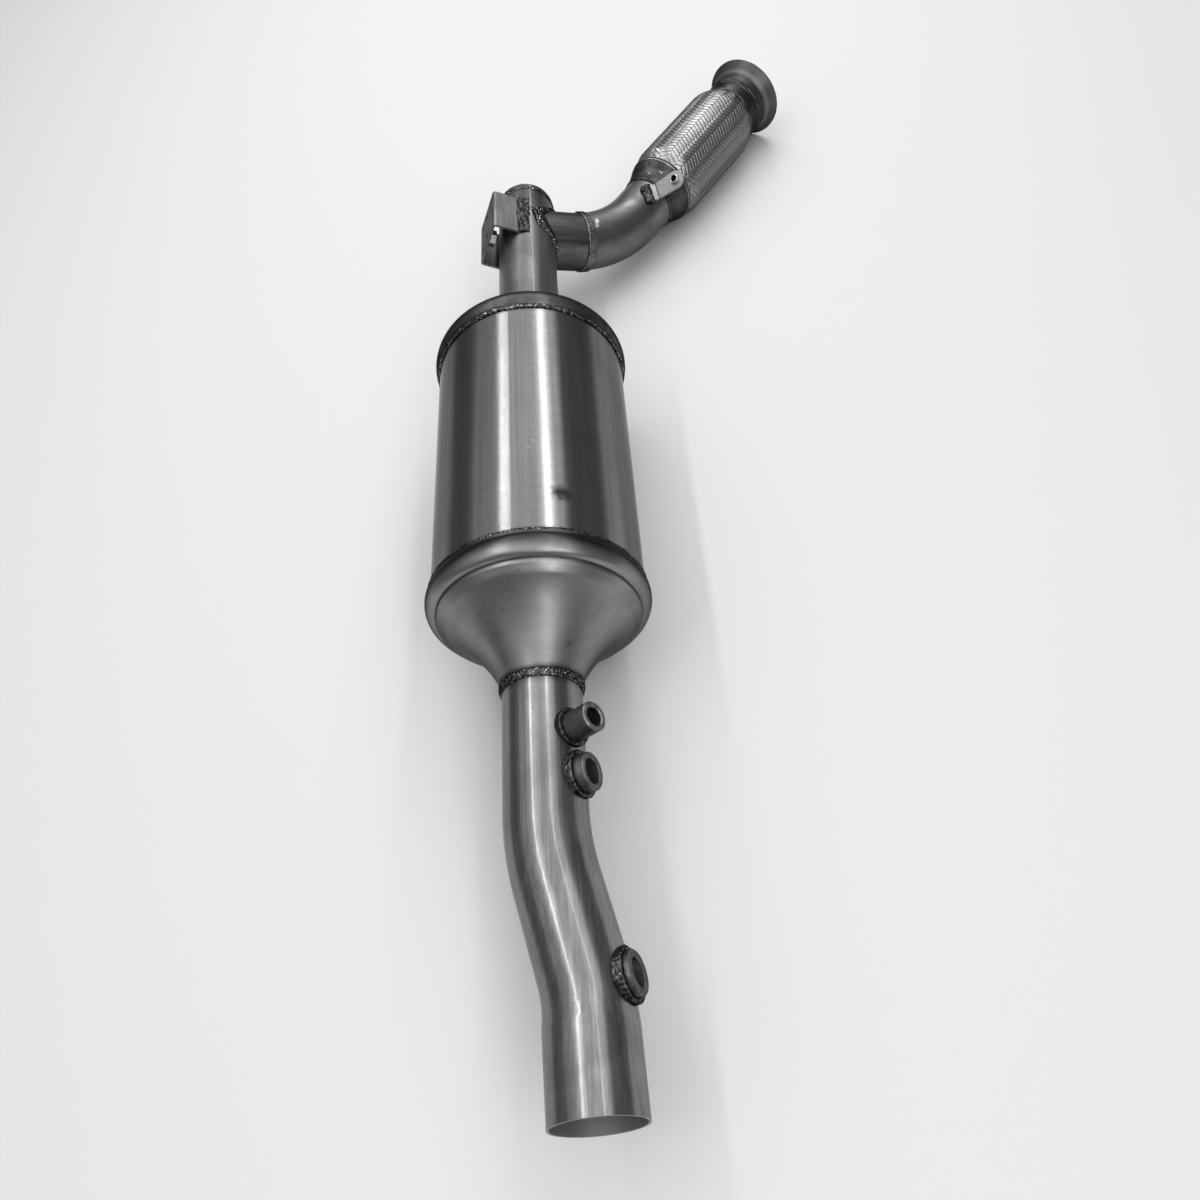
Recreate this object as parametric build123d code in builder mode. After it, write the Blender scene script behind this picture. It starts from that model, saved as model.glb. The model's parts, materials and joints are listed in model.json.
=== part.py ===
"""Diesel particulate filter for a car exhaust, with its inlet branch, flexible section and outlet pipe.

Frame: the origin is the centre of the canister on its axis. +Y runs along the canister towards the
inlet end, +Z is up and +X is to the right. The filter lies on its two end rims and on the rim of the
inlet flare, all at the same height. Millimetres and degrees.
"""

import os
from math import cos, pi, radians, sin, sqrt

from build123d import *

# Driving dimensions: canister
filter_r = 71.9  # 5.66 inch ceramic filter
filter_length = 190.0
mat_wall = 4.1
mat_length = 168.0
shell_wall = 1.5
body_length = 228.4  # shell seen between the two end skirts
skirt_overlap = 10.0  # shell hidden under each skirt
end_wall = 2.0  # sheet of the end pressings
rim_proud = 3.7  # rolled rim above the shell
rim_centre = 8.7  # from the skirt's edge to the rim's crest
rim_length = 15.5  # from the skirt's edge to the end of the rim
rim_foot = 0.5  # end of the rim below the skirt's outside
filter_round = 1.5

# Driving dimensions: outlet cone
cone_step = 18.2  # from the skirt's edge to the face behind the rim
step_knee = (0.6, 2.8)  # of the turn into the step: before its face and below the skirt
step_drop = 5.4  # from the skirt to the start of the step's face
step_lip = 1.4  # end of the step's face above the shoulder
shoulder_sagitta = 0.7
cone_shoulder_r = 72.1
cone_shoulder_length = 3.5
cone_length = 48.0
cone_sagitta = 4.96
neck_length = 4.5

# Driving dimensions: pipes
pipe_r = 27.25
pipe_wall = 1.4
pipe_overlap = 4.0  # pipe end inside the neck that holds it
outlet_bend_1 = (0.0, -299.5, 0.0)
outlet_bend_2 = (19.2, -382.5, -9.0)
outlet_end = (21.7, -450.6, -4.0)
outlet_bend_radii = [170.0, 73.0]
socket_bore_r = 26.4
socket_length = 48.0
socket_taper = 8.0

# Driving dimensions: inlet header
dish_knee = (0.9, 3.2)  # of the turn into the dished plate: before it and below the skirt
dish_gap = 3.2  # from the rim's end to the dished plate
dish_drop = 7.0  # from the skirt to the plate's outer edge
dish_depth = 14.0
throat_lead = (2.5, 5.0)  # of the throat: before the collar and above it
throat_sagitta = 1.2
cap_collar = 8.0
header_inset = 4.0  # header end inside the canister, past the collar's overlap
header_tail = 54.0  # header beyond the branch
header_cap_length = 9.5
header_cap_round = 4.0

# Driving dimensions: branch and flexible section
branch_station = 312.2  # where the branch axis meets the header axis
branch_lean = 14.3  # towards the inlet end
branch_fall = 26.9  # below the horizontal
branch_hole_lip = 0.5
elbow_radius = 115.0
flex_heading = 52.3  # from +X towards +Y, horizontal
butt_weld_station = 57.5  # along the branch from the header axis
collar_start = 26.0
collar_neck = 4.0
collar_cone = 17.0
collar_seat = 5.5
collar_r = 35.0
collar_wall = 1.5
collar_bulge = 0.7
braid_r = 38.2
braid_wall = 1.2
braid_ridge = 0.7
braid_pitch = 5.1
braid_rise = 13.0
braid_fall = 21.0
flex_length = 156.0  # from the rear seat's start to the front ring's end
front_ring_length = 16.0
front_ring_r = 32.6
front_ring_wall = 1.4
ring_round = (1.2, 0.7)  # of the front ring's edge: along and across
ring_groove = (2.6, 1.4, 0.5)  # from the ring's end, half its width, its depth
bellows_wall = 0.6
bellows_pitch = 8.0
bellows_crest_gap = 0.8
liner_wall = 1.0
liner_gap = 0.2
liner_lead = 9.0  # liner end before the rear seat
liner_tail = 8.0  # liner end before the front ring's end
liner_cuff = 8.0  # plain ends of the liner
liner_step = 0.35
hooks = 14
flare_wall = 1.8
flare_neck_r = 31.6
flare_neck_length = 14.0
flare_lead = 3.0  # cone between the front cuff and the barrel
flare_rim_r = 41.4
flare_angle = 43.0  # between the flare's wall and its axis
flare_lip = 1.0

# Driving dimensions: sensor bosses, as (station, azimuth, height over the pipe, outer radius, bore radius)
temperature_boss = (-229.0, 34.5, 20.3, 10.0, 6.2)
front_oxygen_boss = (-259.0, 20.5, 8.5, 12.4, 8.25)
rear_oxygen_boss = (-381.5, 14.0, 5.5, 13.0, 8.25)
boss_chamfer = 0.8

# Driving dimensions: bracket on the header
bracket_turn = 31.3  # of the bracket's inward direction below +X
bracket_lead = 27.5  # from the bracket's outlet side edge to the branch
bracket_length = 53.5
bracket_wall = 2.0
bracket_fold = 3.0
bracket_sink = 2.0  # of the flanges, trimmed off along the header's surface
bracket_stand_off = 13.5  # web face outside the header
bracket_high_edge = 24.0
bracket_low_edge = 22.0
bracket_hole_r = 4.25
bracket_hole_spacing = 28.0
bracket_hole_first = 13.5  # from the bracket's outlet side edge
pilot_hole_r = 2.0
pilot_hole_place = (34.0, -12.0)
nut_flats = 13.0
nut_height = 6.5
nut_bore_r = 3.4

# Driving dimensions: clip tab on the elbow
tab_station = 14.7  # of its fold, from the elbow's end along the flexible section
tab_azimuth = 50.2  # of its fold, over the outer side of the elbow
tab_height = 5.4  # of its fold over the pipe
tab_swing = 59.9  # of its length away from the flexible section
tab_rise = 27.3
tab_roll = 33.4  # of its face about its length, towards the outer side
tab_wall = 2.5
tab_width = 15.7  # at the fold
tab_end_r = 8.6
tab_length = 31.0
tab_foot = 9.5
tab_foot_angle = 22.0
tab_bush_r = 4.4
tab_bush_bore_r = 2.9
tab_bush_height = 3.8
tab_bush_tail = 0.8  # below the strip
tab_bush_chamfer = 0.5
tab_weld_r = 5.0
tab_weld_overhang = 1.0  # past the strip's sides

# Driving dimensions: weld beads
bead = 3.0
bead_height = 1.7
small_bead = 2.2
butt_bead_width = 8.0
butt_bead_height = 1.2
bracket_bead = [(-4.5, 0.0), (-1.0, 2.6), (6.0, 3.4), (9.0, 0.0)]  # across the bracket's foot

# Sizes worked out from them
shell_r = filter_r + mat_wall + shell_wall
pipe_bore_r = pipe_r - pipe_wall
rim_r = shell_r + rim_proud
skirt_r = shell_r + end_wall
neck_r = pipe_r + end_wall
floor_z = -rim_r
header_end = branch_station + header_tail
skirt_edge = body_length / 2
up = Vector(0, 0, 1)
canister_line = Vector(0, 1, 0)


def section_plane(origin, direction):
    """Plane through an axis: local X runs along it and local Y is the radius."""
    along = Vector(*direction).normalized()
    return Plane(origin=origin, x_dir=along, z_dir=along.cross(up))


def rod(start, end, radius):
    """Plain round bar between two points, for cutting and for trimming."""
    line = Vector(*end) - Vector(*start)
    return Solid.make_cylinder(radius, line.length, Plane(origin=start, z_dir=line))


def turned(label, plane, outline):
    """Ring turned about the plane's local X from (station, radius) points."""
    with BuildPart() as ring:
        with BuildSketch(plane):
            with BuildLine():
                Polyline(*outline, close=True)
            make_face()
        revolve(axis=Axis(plane.origin, plane.x_dir))
    return finish(ring, label)


def finish(made, label):
    """Label a finished piece and write it out."""
    made.part.label = label
    export_step(made.part, f"parts/{label}.step")
    return made.part


os.makedirs("parts", exist_ok=True)
canister_section = section_plane((0, 0, 0), canister_line)

# Canister shell, with the ceramic filter wrapped in its mat
shell_end = skirt_edge + skirt_overlap
turned(
    "canister_shell",
    canister_section,
    [
        (-shell_end, shell_r - shell_wall),
        (-shell_end, shell_r),
        (shell_end, shell_r),
        (shell_end, shell_r - shell_wall),
    ],
)
turned(
    "support_mat",
    canister_section,
    [
        (-mat_length / 2, filter_r),
        (-mat_length / 2, filter_r + mat_wall),
        (mat_length / 2, filter_r + mat_wall),
        (mat_length / 2, filter_r),
    ],
)
with BuildPart() as filter_block:
    with BuildSketch(Plane.XZ.offset(-filter_length / 2)):
        Circle(filter_r)
    extrude(amount=filter_length)
    fillet(filter_block.edges().filter_by(GeomType.CIRCLE), filter_round)
finish(filter_block, "ceramic_filter")

# Outlet cone: skirt, rolled rim, step, trumpet and neck, pressed from one sheet
neck_start = -(skirt_edge + cone_step + cone_shoulder_length + cone_length)
cone_neck_end = neck_start - neck_length
with BuildPart() as outlet_cone:
    with BuildSketch(canister_section):
        with BuildLine():
            skirt = Line((-skirt_edge, skirt_r), (-skirt_edge - end_wall, skirt_r))
            rim = ThreePointArc(
                skirt @ 1,
                (-skirt_edge - rim_centre, rim_r),
                (-skirt_edge - rim_length, skirt_r - rim_foot),
            )
            turn_in = ThreePointArc(
                rim @ 1,
                (-skirt_edge - cone_step + step_knee[0], skirt_r - step_knee[1]),
                (-skirt_edge - cone_step, skirt_r - step_drop),
            )
            step = Line(turn_in @ 1, (-skirt_edge - cone_step, cone_shoulder_r + step_lip))
            shoulder_end = (-skirt_edge - cone_step - cone_shoulder_length, cone_shoulder_r)
            shoulder = SagittaArc(step @ 1, shoulder_end, -shoulder_sagitta)
            trumpet = SagittaArc(shoulder_end, (neck_start, neck_r), cone_sagitta)
            Line(trumpet @ 1, (cone_neck_end, neck_r))
            offset(amount=end_wall, side=Side.LEFT)
        make_face()
    revolve(axis=Axis.Y)
finish(outlet_cone, "outlet_cone")

# Inlet end cap: skirt, rolled rim, dished plate and a collar for the header
dish_start = skirt_edge + rim_length + dish_gap
collar_root = dish_start + dish_depth
cap_collar_end = collar_root + cap_collar
with BuildPart() as inlet_end_cap:
    with BuildSketch(canister_section):
        with BuildLine():
            cap_skirt = Line((skirt_edge, skirt_r), (skirt_edge + end_wall, skirt_r))
            cap_rim = ThreePointArc(
                cap_skirt @ 1,
                (skirt_edge + rim_centre, rim_r),
                (skirt_edge + rim_length, skirt_r - rim_foot),
            )
            cap_turn = ThreePointArc(
                cap_rim @ 1,
                (dish_start - dish_knee[0], skirt_r - dish_knee[1]),
                (dish_start, skirt_r - dish_drop),
            )
            dish = Line(cap_turn @ 1, (collar_root - throat_lead[0], neck_r + throat_lead[1]))
            throat = SagittaArc(dish @ 1, (collar_root, neck_r), throat_sagitta)
            Line(throat @ 1, (cap_collar_end, neck_r))
            offset(amount=end_wall, side=Side.RIGHT)
        make_face()
    revolve(axis=Axis.Y)
finish(inlet_end_cap, "inlet_end_cap")

# Weld beads round the canister
def fillet_bead(label, plane, edge_station, edge_r, wall_r, size):
    """Bead in the corner between a sheet's edge, at its outer radius, and the surface that it sits on."""
    way = 1 if size > 0 else -1
    turned(
        label,
        plane,
        [
            (edge_station, wall_r),
            (edge_station, edge_r - 0.2),
            (edge_station + size * 0.25, edge_r + 0.1),
            (edge_station + size * 0.7, (edge_r + wall_r) / 2 + 0.25),
            (edge_station + size + way * 0.4, wall_r),
        ],
    )


fillet_bead("outlet_cone_weld", canister_section, -skirt_edge, skirt_r, shell_r, bead)
fillet_bead("inlet_cap_weld", canister_section, skirt_edge, skirt_r, shell_r, -bead)
fillet_bead("outlet_neck_weld", canister_section, cone_neck_end, neck_r, pipe_r, -2 * bead)
fillet_bead("header_weld", canister_section, cap_collar_end, neck_r, pipe_r, bead)

# Outlet pipe: two bends, then an expanded socket
outlet_start = Vector(0, cone_neck_end + pipe_overlap, 0)
last_run = (Vector(*outlet_end) - Vector(*outlet_bend_2)).normalized()
socket_start = Vector(*outlet_end) - last_run * (socket_length + socket_taper)
socket_section = section_plane(socket_start, last_run)
socket_r = socket_bore_r + pipe_wall
with BuildPart() as outlet_bar:
    with BuildLine() as outlet_route:
        FilletPolyline(outlet_start, outlet_bend_1, outlet_bend_2, socket_start, radius=outlet_bend_radii)
    with BuildSketch(Plane(origin=outlet_start, z_dir=-canister_line)):
        Circle(pipe_r)
    sweep()
    with BuildSketch(socket_section):
        with BuildLine():
            Polyline(
                (0, 0),
                (0, pipe_r),
                (socket_taper, socket_r),
                (socket_taper + socket_length, socket_r),
                (socket_taper + socket_length, 0),
                close=True,
            )
        make_face()
    revolve(axis=Axis(socket_start, last_run))


def boss_frame(place):
    """Foot on the outlet pipe's axis and outward direction of a sensor boss, square to the pipe."""
    station, azimuth, *_ = place
    route = outlet_route.wire()
    low, high = 0.0, 1.0
    for _ in range(40):
        middle = (low + high) / 2
        if (route @ middle).Y > station:
            low = middle
        else:
            high = middle
    along = route % low
    out = Vector(cos(radians(azimuth)), 0, sin(radians(azimuth)))
    return route @ low, (out - along * out.dot(along)).normalized()


bosses = {
    "temperature_sensor_boss": temperature_boss,
    "front_oxygen_sensor_boss": front_oxygen_boss,
    "rear_oxygen_sensor_boss": rear_oxygen_boss,
}

with BuildPart() as outlet_pipe:
    with BuildLine():
        add(outlet_route.line)
    with BuildSketch(Plane(origin=outlet_start, z_dir=-canister_line)):
        Circle(pipe_r)
        Circle(pipe_bore_r, mode=Mode.SUBTRACT)
    sweep()
    with BuildSketch(socket_section):
        with BuildLine():
            Polyline(
                (0, pipe_bore_r),
                (0, pipe_r),
                (socket_taper, socket_r),
                (socket_taper + socket_length, socket_r),
                (socket_taper + socket_length, socket_bore_r),
                (socket_taper, socket_bore_r),
                close=True,
            )
        make_face()
    revolve(axis=Axis(socket_start, last_run))
    for place in bosses.values():
        foot, out = boss_frame(place)
        add(rod(foot, foot + out * 2 * pipe_r, place[4]), mode=Mode.SUBTRACT)
finish(outlet_pipe, "outlet_pipe")

for label, place in bosses.items():
    foot, out = boss_frame(place)
    height, outer_r, bore_r = place[2:]
    face = foot + out * (pipe_r + height)
    with BuildPart() as boss:
        add(rod(foot + out * pipe_r * 0.5, face, outer_r))
        add(rod(foot, face + out, bore_r), mode=Mode.SUBTRACT)
        chamfer(boss.faces().sort_by(Axis(foot, out))[-1].edges(), boss_chamfer)
        add(outlet_bar.part, mode=Mode.SUBTRACT)
    finish(boss, label)
    with BuildPart() as boss_bead:
        add(rod(foot + out * pipe_r * 0.4, foot + out * (pipe_r + bead_height), outer_r + bead))
        add(rod(foot, face, outer_r), mode=Mode.SUBTRACT)
        add(outlet_bar.part, mode=Mode.SUBTRACT)
    finish(boss_bead, label.replace("_boss", "_weld"))

# Inlet header, its cap and the hole for the branch
header_start = cap_collar_end - pipe_overlap - header_inset
cap_seam = header_end - header_cap_length
branch_way = Vector(
    cos(radians(branch_lean)) * cos(radians(branch_fall)),
    sin(radians(branch_lean)),
    -cos(radians(branch_lean)) * sin(radians(branch_fall)),
)
branch_start = Vector(0, branch_station, 0)
with BuildPart() as header_pipe:
    with BuildSketch(Plane(origin=(0, header_start, 0), z_dir=canister_line)):
        Circle(pipe_r)
        Circle(pipe_bore_r, mode=Mode.SUBTRACT)
    extrude(amount=cap_seam - header_start)
    add(
        rod(branch_start, branch_start + branch_way * 2 * pipe_r, pipe_bore_r - branch_hole_lip),
        mode=Mode.SUBTRACT,
    )
finish(header_pipe, "header_pipe")
with BuildPart() as header_cap:
    with BuildSketch(Plane(origin=(0, cap_seam, 0), z_dir=canister_line)):
        Circle(pipe_r)
    extrude(amount=header_cap_length)
    fillet(header_cap.faces().sort_by(Axis.Y)[-1].edges(), header_cap_round)
    offset(amount=-pipe_wall, openings=header_cap.faces().sort_by(Axis.Y)[0])
finish(header_cap, "header_cap")
turned(
    "header_cap_weld",
    canister_section,
    [
        (cap_seam - small_bead, pipe_r),
        (cap_seam - small_bead * 0.6, pipe_r + 0.6),
        (cap_seam + small_bead * 0.6, pipe_r + 0.6),
        (cap_seam + small_bead, pipe_r),
    ],
)

# Branch: it falls until the flexible section lies level, with the flare's rim on the floor
flex_way = Vector(cos(radians(flex_heading)), sin(radians(flex_heading)), 0)
flex_z = floor_z + flare_rim_r
branch_corner = branch_start + branch_way * (flex_z / branch_way.Z)
branch_turn = radians(branch_way.get_angle(flex_way))
elbow_tangent = elbow_radius * sin(branch_turn / 2) / cos(branch_turn / 2)
elbow_end = branch_corner + flex_way * elbow_tangent
pipe_reach = collar_start + collar_neck + collar_cone - 1.0
with BuildLine() as branch_route:
    FilletPolyline(branch_start, branch_corner, elbow_end + flex_way * pipe_reach, radius=elbow_radius)
stub_run, elbow_bend, elbow_run = branch_route.edges().sort_by(Axis((0, 0, 0), flex_way))
arc_share = (butt_weld_station - stub_run.length) / elbow_bend.length
bead_share = butt_bead_width / 2 / elbow_bend.length
header_bar = rod((0, header_start, 0), (0, header_end, 0), pipe_r)
branch_square = Plane(origin=branch_start + branch_way, z_dir=branch_way)
with BuildPart() as branch_stub:
    with BuildLine():
        Line(branch_start + branch_way, stub_run @ 1)
        add(elbow_bend.trim(0, arc_share))
    with BuildSketch(branch_square):
        Circle(pipe_r)
        Circle(pipe_bore_r, mode=Mode.SUBTRACT)
    sweep()
    add(header_bar, mode=Mode.SUBTRACT)
finish(branch_stub, "branch_stub")
with BuildPart() as elbow_pipe:
    with BuildLine():
        add(elbow_bend.trim(arc_share, 1))
        add(elbow_run)
    with BuildSketch(Plane(origin=elbow_bend @ arc_share, z_dir=elbow_bend % arc_share)):
        Circle(pipe_r)
        Circle(pipe_bore_r, mode=Mode.SUBTRACT)
    sweep()
finish(elbow_pipe, "elbow_pipe")
bead_start = elbow_bend @ (arc_share - bead_share)
with BuildPart() as elbow_weld:
    with BuildLine():
        add(elbow_bend.trim(arc_share - bead_share, arc_share + bead_share))
    with BuildSketch(Plane(origin=bead_start, z_dir=elbow_bend % (arc_share - bead_share))):
        Circle(pipe_r + butt_bead_height)
        Circle(pipe_r, mode=Mode.SUBTRACT)
    sweep()
    bead_rims = [side.outer_wire().edges() for side in elbow_weld.faces().filter_by(GeomType.PLANE)]
    chamfer(bead_rims, butt_bead_height * 0.6)
finish(elbow_weld, "elbow_weld")
with BuildPart() as branch_weld:
    add(rod(branch_start + branch_way, branch_start + branch_way * 2 * pipe_r, pipe_r + bead))
    add(rod((0, header_start, 0), (0, header_end, 0), pipe_r + bead), mode=Mode.INTERSECT)
    add(header_bar, mode=Mode.SUBTRACT)
    add(rod(branch_start, branch_start + branch_way * 3 * pipe_r, pipe_r), mode=Mode.SUBTRACT)
finish(branch_weld, "branch_weld")

# Flexible section: stations run from the elbow's end along its axis
flex_section = section_plane(elbow_end, flex_way)
seat_start = collar_start + collar_neck + collar_cone
seat_r = collar_r - collar_wall
turned(
    "flex_rear_collar",
    flex_section,
    [
        (collar_start, pipe_r),
        (collar_start, pipe_r + collar_wall),
        (collar_start + collar_neck, pipe_r + collar_wall),
        (seat_start, collar_r),
        (seat_start + collar_seat * 0.45, collar_r + collar_bulge),
        (seat_start + collar_seat, collar_r),
        (seat_start + collar_seat, seat_r),
        (seat_start, seat_r),
        (collar_start + collar_neck, pipe_r),
    ],
)
fillet_bead("flex_rear_weld", flex_section, collar_start, pipe_r + collar_wall, pipe_r, -small_bead)
flex_end = seat_start + flex_length
ring_start = flex_end - front_ring_length
ring_seat_r = front_ring_r - front_ring_wall
turned(
    "flex_front_ring",
    flex_section,
    [
        (ring_start, ring_seat_r),
        (ring_start, front_ring_r - ring_round[1]),
        (ring_start + ring_round[0], front_ring_r),
        (flex_end - ring_groove[0] - ring_groove[1], front_ring_r),
        (flex_end - ring_groove[0], front_ring_r - ring_groove[2]),
        (flex_end - ring_groove[0] + ring_groove[1], front_ring_r),
        (flex_end, front_ring_r),
        (flex_end, ring_seat_r),
    ],
)


def braid_radius(station):
    """Outer radius of the braid: it rises from the rear seat, runs straight and falls to the front ring."""
    rear, front = seat_start + collar_seat, ring_start
    rise = min(max((station - rear) / braid_rise, 0), 1)
    fall = min(max((front - station) / braid_fall, 0), 1)
    rear_side = seat_r + (braid_r - seat_r) * sin(rise * pi / 2)
    front_side = ring_seat_r + (braid_r - ring_seat_r) * sin(fall * pi / 2)
    return min(rear_side, front_side)


weave_start = seat_start + collar_seat
weave_rows = int((ring_start - weave_start) / braid_pitch)
weave_pitch = (ring_start - weave_start) / weave_rows
braid_outside = [(seat_start, seat_r), (weave_start, seat_r)]
for row in range(weave_rows):
    crest = weave_start + (row + 0.5) * weave_pitch
    valley = crest + weave_pitch / 2
    braid_outside.append((crest, braid_radius(crest)))
    if row < weave_rows - 1:
        braid_outside.append((valley, braid_radius(valley) - braid_ridge))
braid_outside += [(ring_start, ring_seat_r), (flex_end, ring_seat_r)]
braid_knees = [
    flex_end,
    ring_start,
    ring_start - braid_fall * 0.4,
    ring_start - braid_fall,
    weave_start + braid_rise,
    weave_start + braid_rise * 0.4,
    weave_start,
    seat_start,
]
braid_cuffs = braid_knees[:2] + braid_knees[-2:]
braid_inside = [
    (knee, braid_radius(knee) - braid_wall - (0 if knee in braid_cuffs else braid_ridge)) for knee in braid_knees
]
turned("flex_braid", flex_section, braid_outside + braid_inside)

# Bellows inside the braid: V-shaped convolutions between two plain cuffs
rear_cuff_r = seat_r - braid_wall
front_cuff_r = ring_seat_r - braid_wall
bellows_crest_r = braid_r - braid_wall - braid_ridge - bellows_crest_gap
liner_r = pipe_r + liner_gap + liner_wall
bellows_root_r = front_cuff_r
bellows_start = weave_start + braid_rise * 0.6
bellows_stop = ring_start - braid_fall * 0.8
folds = int((bellows_stop - bellows_start) / bellows_pitch)
fold_pitch = (bellows_stop - bellows_start) / folds
bellows_outside = [(seat_start, rear_cuff_r), (weave_start, rear_cuff_r), (bellows_start, bellows_root_r)]
for fold in range(folds):
    root = bellows_start + fold * fold_pitch
    bellows_outside += [
        (root + fold_pitch * 0.35, bellows_crest_r),
        (root + fold_pitch * 0.65, bellows_crest_r),
        (root + fold_pitch, bellows_root_r),
    ]
bellows_outside.append((flex_end, front_cuff_r))
bellows_inside = [(station, radius - bellows_wall) for station, radius in reversed(bellows_outside)]
turned("flex_bellows", flex_section, bellows_outside + bellows_inside)

# Interlocked liner: rings of strip that guide the gas past the bellows
liner_start = seat_start - liner_lead
liner_end = flex_end - liner_tail
hook_pitch = (liner_end - liner_start - 2 * liner_cuff) / hooks
liner_outside = [(liner_start, liner_r), (liner_start + liner_cuff, liner_r)]
for hook in range(hooks):
    step_at = liner_start + liner_cuff + hook * hook_pitch
    liner_outside += [
        (step_at + hook_pitch * 0.5, liner_r),
        (step_at + hook_pitch * 0.5, liner_r + liner_step),
        (step_at + hook_pitch, liner_r + liner_step),
        (step_at + hook_pitch, liner_r),
    ]
liner_outside.append((liner_end, liner_r))
turned(
    "flex_liner",
    flex_section,
    liner_outside + [(liner_end, liner_r - liner_wall), (liner_start, liner_r - liner_wall)],
)

# Inlet flare: neck in the front cuff, short barrel and conical lip for the clamp
flare_tube_r = front_cuff_r - bellows_wall
flare_start = liner_end + 1.0
barrel_start = flex_end + flare_lead
barrel_end = flex_end + flare_neck_length
flare_cone = (flare_rim_r - flare_neck_r) * cos(radians(flare_angle)) / sin(radians(flare_angle))
flare_end = barrel_end + flare_cone + flare_lip
with BuildPart() as inlet_flare:
    with BuildSketch(flex_section):
        with BuildLine():
            Polyline(
                (flare_start, flare_tube_r),
                (flex_end, flare_tube_r),
                (barrel_start, flare_neck_r),
                (barrel_end, flare_neck_r),
                (barrel_end + flare_cone, flare_rim_r),
                (flare_end, flare_rim_r),
                (flare_end, flare_rim_r - flare_wall),
                (barrel_end + flare_cone, flare_rim_r - 1.4 * flare_wall),
                (barrel_end + flare_wall * 0.4, flare_neck_r - flare_wall),
                (barrel_start, flare_neck_r - flare_wall),
                (flex_end, flare_tube_r - flare_wall),
                (flare_start, flare_tube_r - flare_wall),
                close=True,
            )
        make_face()
    revolve(axis=Axis(elbow_end, flex_way))
finish(inlet_flare, "inlet_flare")
turned(
    "inlet_flare_weld",
    flex_section,
    [
        (flex_end, flare_tube_r),
        (flex_end, front_ring_r - 0.2),
        (flex_end + 1.6, front_ring_r + 0.6),
        (flex_end + 3.2, front_ring_r + 0.2),
        (flex_end + 4.6, flare_neck_r),
        (barrel_start, flare_neck_r),
    ],
)

# Bracket: a folded channel whose two flanges stand on the header
inward = Vector(cos(radians(bracket_turn)), 0, -sin(radians(bracket_turn)))
bracket_start = branch_station - bracket_lead
bracket_section = Plane(origin=(0, bracket_start, 0), x_dir=inward, z_dir=canister_line)
web_face = -(pipe_r + bracket_stand_off)


def header_surface(across):
    """Distance of the header's surface from its middle plane, at a height across the bracket."""
    return -sqrt(pipe_r**2 - across**2)


def web_point(along, across):
    """Point on the outer face of the bracket's web."""
    return bracket_section.from_local_coords((web_face, across, along))


hole_places = [(bracket_hole_first + n * bracket_hole_spacing, 0.0) for n in range(2)]
low_side = bracket_low_edge
high_side = -bracket_high_edge
with BuildPart() as header_bracket:
    with BuildSketch(bracket_section):
        with BuildLine():
            web = FilletPolyline(
                (header_surface(low_side) + bracket_sink, low_side),
                (web_face, low_side),
                (web_face, high_side),
                (header_surface(high_side) + bracket_sink, high_side),
                radius=bracket_fold,
            )
            offset(amount=bracket_wall, side=Side.LEFT)
        make_face()
    extrude(amount=bracket_length)
    add(header_bar, mode=Mode.SUBTRACT)
    for along, across in hole_places:
        centre = web_point(along, across)
        add(rod(centre - inward, centre + inward * 2 * bracket_wall, bracket_hole_r), mode=Mode.SUBTRACT)
    centre = web_point(*pilot_hole_place)
    add(rod(centre - inward, centre + inward * 2 * bracket_wall, pilot_hole_r), mode=Mode.SUBTRACT)
finish(header_bracket, "header_bracket")
with BuildPart() as bracket_nuts:
    for along, across in hole_places:
        seat = web_point(along, across) + inward * bracket_wall
        with BuildSketch(Plane(origin=seat, x_dir=canister_line, z_dir=inward)):
            RegularPolygon(nut_flats / 2, 6, major_radius=False)
            Circle(nut_bore_r, mode=Mode.SUBTRACT)
        extrude(amount=nut_height)
finish(bracket_nuts, "bracket_nuts")
with BuildPart() as bracket_welds:
    for side, way in ((low_side, 1), (high_side, -1)):
        root = header_surface(side)
        with BuildSketch(bracket_section):
            with BuildLine():
                Polyline(*[(root + across, side + way * out) for across, out in bracket_bead], close=True)
            make_face()
        extrude(amount=bracket_length)
    add(header_bar, mode=Mode.SUBTRACT)
    add(header_bracket.part, mode=Mode.SUBTRACT)
finish(bracket_welds, "bracket_welds")

# Clip tab on the elbow: folded strip with a round end, a bush in its hole and a weld at its foot
tab_reach = pipe_r + tab_height
elbow_frame = Plane(origin=elbow_end, x_dir=flex_way, z_dir=up)
fold_place = Pos(tab_station, -tab_reach * cos(radians(tab_azimuth)), tab_reach * sin(radians(tab_azimuth)))
tab_turn = Rot(Z=-tab_swing) * Rot(Y=-tab_rise) * Rot(X=tab_roll)
tab_plane = Plane(elbow_frame.location * fold_place * tab_turn)
tab_profile = Plane(origin=tab_plane.origin, x_dir=tab_plane.x_dir, z_dir=tab_plane.y_dir)
foot_step = (tab_foot * cos(radians(tab_foot_angle)), tab_foot * sin(radians(tab_foot_angle)))
with BuildPart() as branch_bar:
    with BuildLine():
        add(branch_route.line)
    with BuildSketch(Plane(origin=branch_start, z_dir=branch_way)):
        Circle(pipe_r)
    sweep()
tab_end = tab_length - tab_end_r
tab_hole = tab_plane.from_local_coords((tab_end, 0, 0))
tab_up = tab_plane.z_dir
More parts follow.
